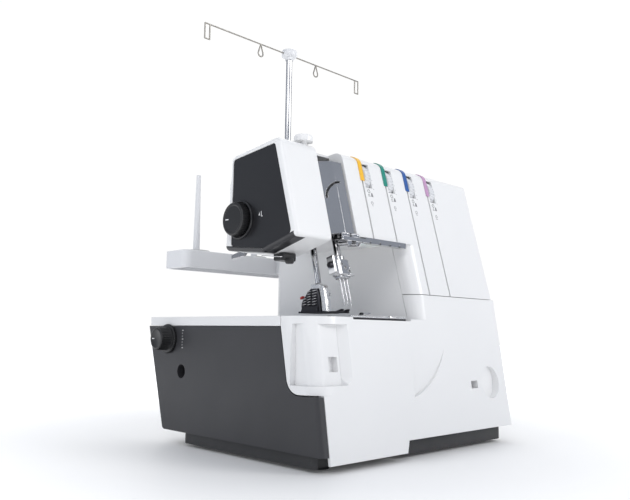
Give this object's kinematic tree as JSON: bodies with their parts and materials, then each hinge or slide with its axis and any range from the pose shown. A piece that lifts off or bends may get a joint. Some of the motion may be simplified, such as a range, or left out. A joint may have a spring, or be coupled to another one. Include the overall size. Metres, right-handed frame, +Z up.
{
  "type": "overlock serger machine",
  "caption": "Free-arm overlock serger with a looper cover, thread slots and tension dials over a leaning front, a spool tray and a telescopic thread mast.",
  "frame": {"origin": "centre of the overall box's bottom, on the table under the four feet", "axes": "+X to the machine's right as the user faces it, +Y away from the user, +Z up"},
  "size_m": [0.365, 0.2956, 0.493],
  "materials": {
    "white_casing": "moulded, satin-gloss white",
    "dark_panel": "moulded, anthracite",
    "black_panel": "near black",
    "base_grey": "moulded, black-grey",
    "foot_rubber": "soft rubber",
    "casting": "die casting, as cast",
    "bronze": "sintered bronze",
    "steel": "ground",
    "bright_steel": "plated, polished",
    "tab_yellow": "moulded",
    "tab_green": "moulded",
    "tab_blue": "moulded",
    "tab_lilac": "moulded",
    "dial_white": "moulded",
    "wheel_grey": "moulded",
    "tray_grey": "moulded, light grey",
    "lamp_cover": "diffusing cover",
    "motor_case": "painted",
    "belt_rubber": "toothed rubber belt",
    "board": "circuit board"
  },
  "bodies": {
    "machine": {"arm_thread_guides": "bright_steel", "base_plate": "base_grey", "bed_side_panel": "dark_panel", "bed_top_plate": "white_casing", "casing_screws": "bright_steel", "cover_hinge_brackets": "steel", "cover_hinge_rod": "steel", "drive_belt": "belt_rubber", "front_cover": "white_casing", "head_shell": "white_casing", "head_side_panel": "black_panel", "inner_frame": "casting", "led_lamp": "lamp_cover", "main_housing": "white_casing", "mast_lower_tube": "bright_steel", "motor": "motor_case", "needle_plate": "bright_steel", "path_tab_blue": "tab_blue", "path_tab_green": "tab_green", "path_tab_lilac": "tab_lilac", "path_tab_yellow": "tab_yellow", "pivot_pins": "steel", "power_inlet": "wheel_grey", "rear_cover": "white_casing", "right_side_cover": "white_casing", "rubber_feet": "foot_rubber", "shaft_bushes": "bronze", "speed_board": "board", "spool_pins": "tray_grey", "spool_tray": "tray_grey", "take_up_cover": "bright_steel", "tension_discs": "steel", "thread_cutter": "wheel_grey"},
    "looper_cover": {"looper_cover": "white_casing"},
    "main_shaft": {"main_shaft": "steel", "handwheel": "wheel_grey", "shaft_pulley": "steel"},
    "motor_rotor": {"motor_pulley": "steel"},
    "arm_shaft": {"arm_shaft": "steel", "take_up_lever": "steel"},
    "needle_bar": {"needle_bar": "bright_steel", "needle_clamp": "bright_steel", "needles": "bright_steel"},
    "presser": {"presser_bar": "bright_steel", "presser_foot": "bright_steel"},
    "presser_lifter": {"lifter_lever": "steel"},
    "feed_dogs": {"feed_dogs": "steel"},
    "looper": {"looper": "steel"},
    "tension_dial_1": {"tension_dial_1": "dial_white"},
    "tension_dial_2": {"tension_dial_2": "dial_white"},
    "tension_dial_3": {"tension_dial_3": "dial_white"},
    "tension_dial_4": {"tension_dial_4": "dial_white"},
    "pressure_knob": {"pressure_knob": "black_panel"},
    "feed_knob": {"differential_feed_knob": "black_panel"},
    "stitch_dial": {"stitch_length_dial": "dial_white"},
    "power_switch": {"power_switch": "wheel_grey"},
    "release_button": {"release_button": "white_casing"},
    "mast_upper": {"mast_upper_tube": "bright_steel"},
    "guide_bar": {"mast_cap": "tray_grey", "thread_guide_bar": "bright_steel"}
  },
  "joints": [
    {"name": "looper_cover_hinge", "type": "hinge", "parent": "machine", "child": "looper_cover", "pos_m": [-0.0125, -0.1397, 0.021], "axis": [1, 0, 0], "range_deg": [0, 60]},
    {"name": "main_shaft_turn", "type": "hinge", "parent": "machine", "child": "main_shaft", "pos_m": [0.0875, -0.0192, 0.1], "axis": [1, 0, 0], "continuous": true},
    {"name": "motor_turn", "type": "hinge", "parent": "machine", "child": "motor_rotor", "pos_m": [0.0825, 0.0148, 0.042], "axis": [1, 0, 0], "continuous": true},
    {"name": "take_up_swing", "type": "hinge", "parent": "machine", "child": "arm_shaft", "pos_m": [-0.1045, -0.0392, 0.236], "axis": [1, 0, 0], "range_deg": [-12, 12]},
    {"name": "needle_bar_slide", "type": "slide", "parent": "machine", "child": "needle_bar", "axis": [0, 0.2588, 0.9659], "range_m": [-0.026, 0]},
    {"name": "presser_slide", "type": "slide", "parent": "machine", "child": "presser", "axis": [0, 0.2079, 0.9781], "range_m": [-0.0028, 0.004]},
    {"name": "lifter_swing", "type": "hinge", "parent": "machine", "child": "presser_lifter", "pos_m": [-0.1195, -0.0112, 0.224], "axis": [1, 0, 0], "range_deg": [-6, 8.5]},
    {"name": "feed_slide", "type": "slide", "parent": "machine", "child": "feed_dogs", "axis": [0, 1, 0], "range_m": [-0.002, 0.002]},
    {"name": "looper_swing", "type": "hinge", "parent": "machine", "child": "looper", "pos_m": [-0.0985, -0.1132, 0.062], "axis": [0, 1, 0], "range_deg": [-10, 10]},
    {"name": "tension_dial_1_turn", "type": "hinge", "parent": "machine", "child": "tension_dial_1", "pos_m": [-0.0535, -0.0802, 0.2735], "axis": [1, 0, 0], "range_deg": [-150, 150]},
    {"name": "tension_dial_2_turn", "type": "hinge", "parent": "machine", "child": "tension_dial_2", "pos_m": [-0.0169, -0.0802, 0.2735], "axis": [1, 0, 0], "range_deg": [-150, 150]},
    {"name": "tension_dial_3_turn", "type": "hinge", "parent": "machine", "child": "tension_dial_3", "pos_m": [0.0197, -0.0802, 0.2735], "axis": [1, 0, 0], "range_deg": [-150, 150]},
    {"name": "tension_dial_4_turn", "type": "hinge", "parent": "machine", "child": "tension_dial_4", "pos_m": [0.0563, -0.0802, 0.2735], "axis": [1, 0, 0], "range_deg": [-150, 150]},
    {"name": "pressure_knob_turn", "type": "hinge", "parent": "machine", "child": "pressure_knob", "pos_m": [-0.1725, -0.0337, 0.223], "axis": [1, 0, 0], "range_deg": [-150, 150]},
    {"name": "feed_knob_turn", "type": "hinge", "parent": "machine", "child": "feed_knob", "pos_m": [-0.1745, 0.0848, 0.108], "axis": [1, 0, 0], "range_deg": [-135, 135]},
    {"name": "stitch_dial_turn", "type": "hinge", "parent": "machine", "child": "stitch_dial", "pos_m": [0.1375, -0.0872, 0.092], "axis": [1, 0, 0], "range_deg": [-135, 135]},
    {"name": "power_switch_rock", "type": "hinge", "parent": "machine", "child": "power_switch", "pos_m": [0.1305, 0.0668, 0.078], "axis": [0, 1, 0], "range_deg": [-8, 8]},
    {"name": "release_button_press", "type": "slide", "parent": "machine", "child": "release_button", "axis": [0, 0, 1], "range_m": [-0.0012, 0], "stiffness_N_per_m": 400},
    {"name": "mast_slide", "type": "slide", "parent": "machine", "child": "mast_upper", "axis": [0, 0, 1], "range_m": [-0.125, 0]},
    {"name": "guide_bar_turn", "type": "hinge", "parent": "mast_upper", "child": "guide_bar", "pos_m": [0.0245, 0.1138, 0.487], "axis": [0, 0, 1], "range_deg": [-90, 90]}
  ],
  "couplings": [
    {"joint": "motor_turn", "follows": "main_shaft_turn", "ratio": 4},
    {"joint": "lifter_swing", "follows": "presser_slide", "rad_per_m": 34.9}
  ]
}
